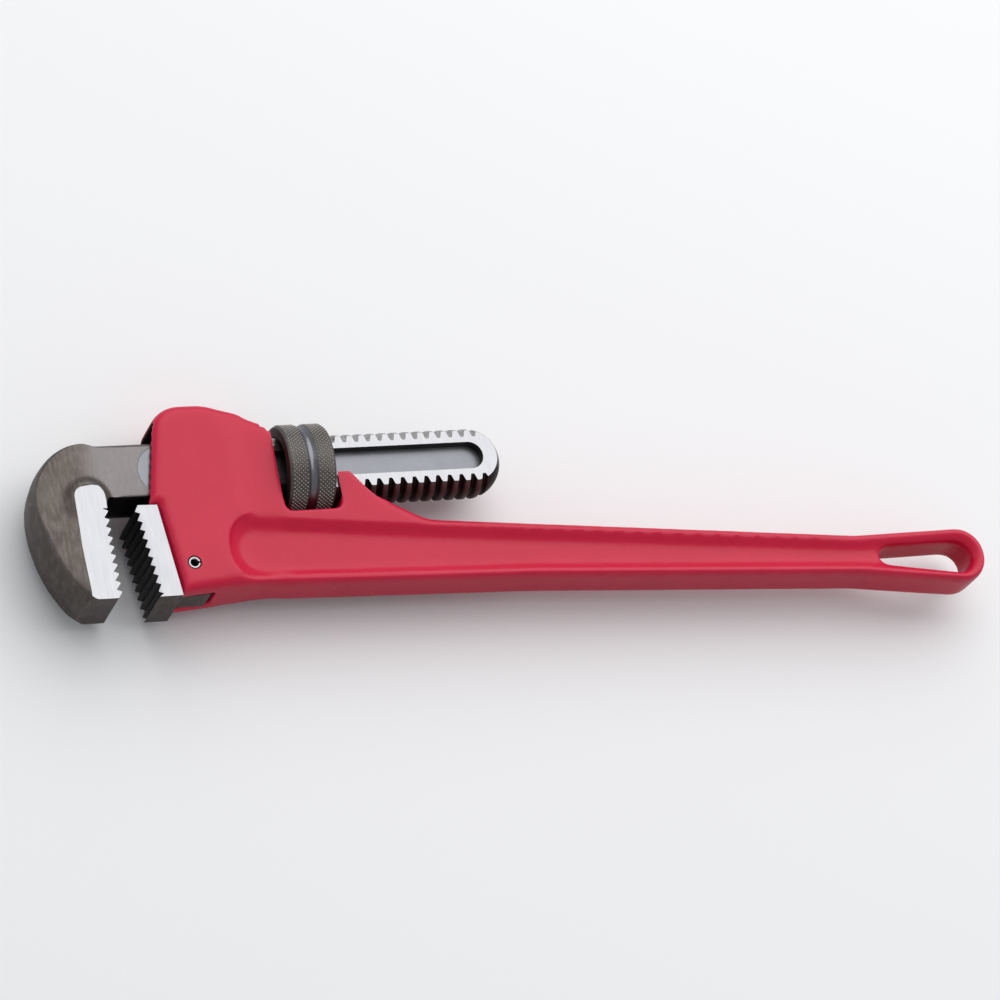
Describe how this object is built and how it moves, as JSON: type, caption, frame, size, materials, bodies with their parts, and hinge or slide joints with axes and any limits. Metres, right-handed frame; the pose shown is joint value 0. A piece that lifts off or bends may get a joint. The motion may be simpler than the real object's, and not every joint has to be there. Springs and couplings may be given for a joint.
{
  "type": "pipe wrench",
  "caption": "Heavy-duty adjustable pipe wrench: cast handle and housing, sliding and rocking hook jaw on a threaded shank, knurled nut, pinned replaceable heel jaw.",
  "frame": {"origin": "middle of the bounding box at its lowest level: the wrench lies on its side", "axes": "+X along the hook jaw's shank towards the end of the handle, +Y from the handle's edge towards the back of the shank, +Z out of the upper side face"},
  "size_m": [0.442, 0.104, 0.0422],
  "materials": {
    "crimson_enamel": "satin enamel over a casting",
    "forged_steel": "dark forged and hardened, ground at the teeth",
    "ground_steel": "ground bright",
    "phosphated_steel": "dark phosphated, knurled",
    "spring_steel": "plain spring steel"
  },
  "bodies": {
    "frame": {"handle": "crimson_enamel", "heel_jaw": "ground_steel", "heel_jaw_pin": "ground_steel", "spring_rivet": "spring_steel"},
    "spring_set": {"flat_spring": "spring_steel", "coil_spring": "spring_steel"},
    "hook": {"hook_jaw": "forged_steel"},
    "nut": {"adjusting_nut": "phosphated_steel"}
  },
  "joints": [
    {"name": "jaw_rock", "type": "hinge", "parent": "frame", "child": "spring_set", "pos_m": [-0.09805, 0.02259, 0.0211], "axis": [0, 0, -1], "range_deg": [0, 5], "stiffness_Nm_per_rad": 5, "springref_deg": -3.44, "deforming": ["coil_spring", "flat_spring"]},
    {"name": "jaw_slide", "type": "slide", "parent": "spring_set", "child": "hook", "axis": [-1, 0, 0], "range_m": [-0.009, 0.062]},
    {"name": "nut_spin", "type": "hinge", "parent": "spring_set", "child": "nut", "pos_m": [-0.09805, 0.02259, 0.0211], "axis": [1, 0, 0], "range_deg": [-625, 4062]}
  ],
  "couplings": [
    {"joint": "nut_spin", "follows": "jaw_slide", "rad_per_m": 1142.4}
  ]
}
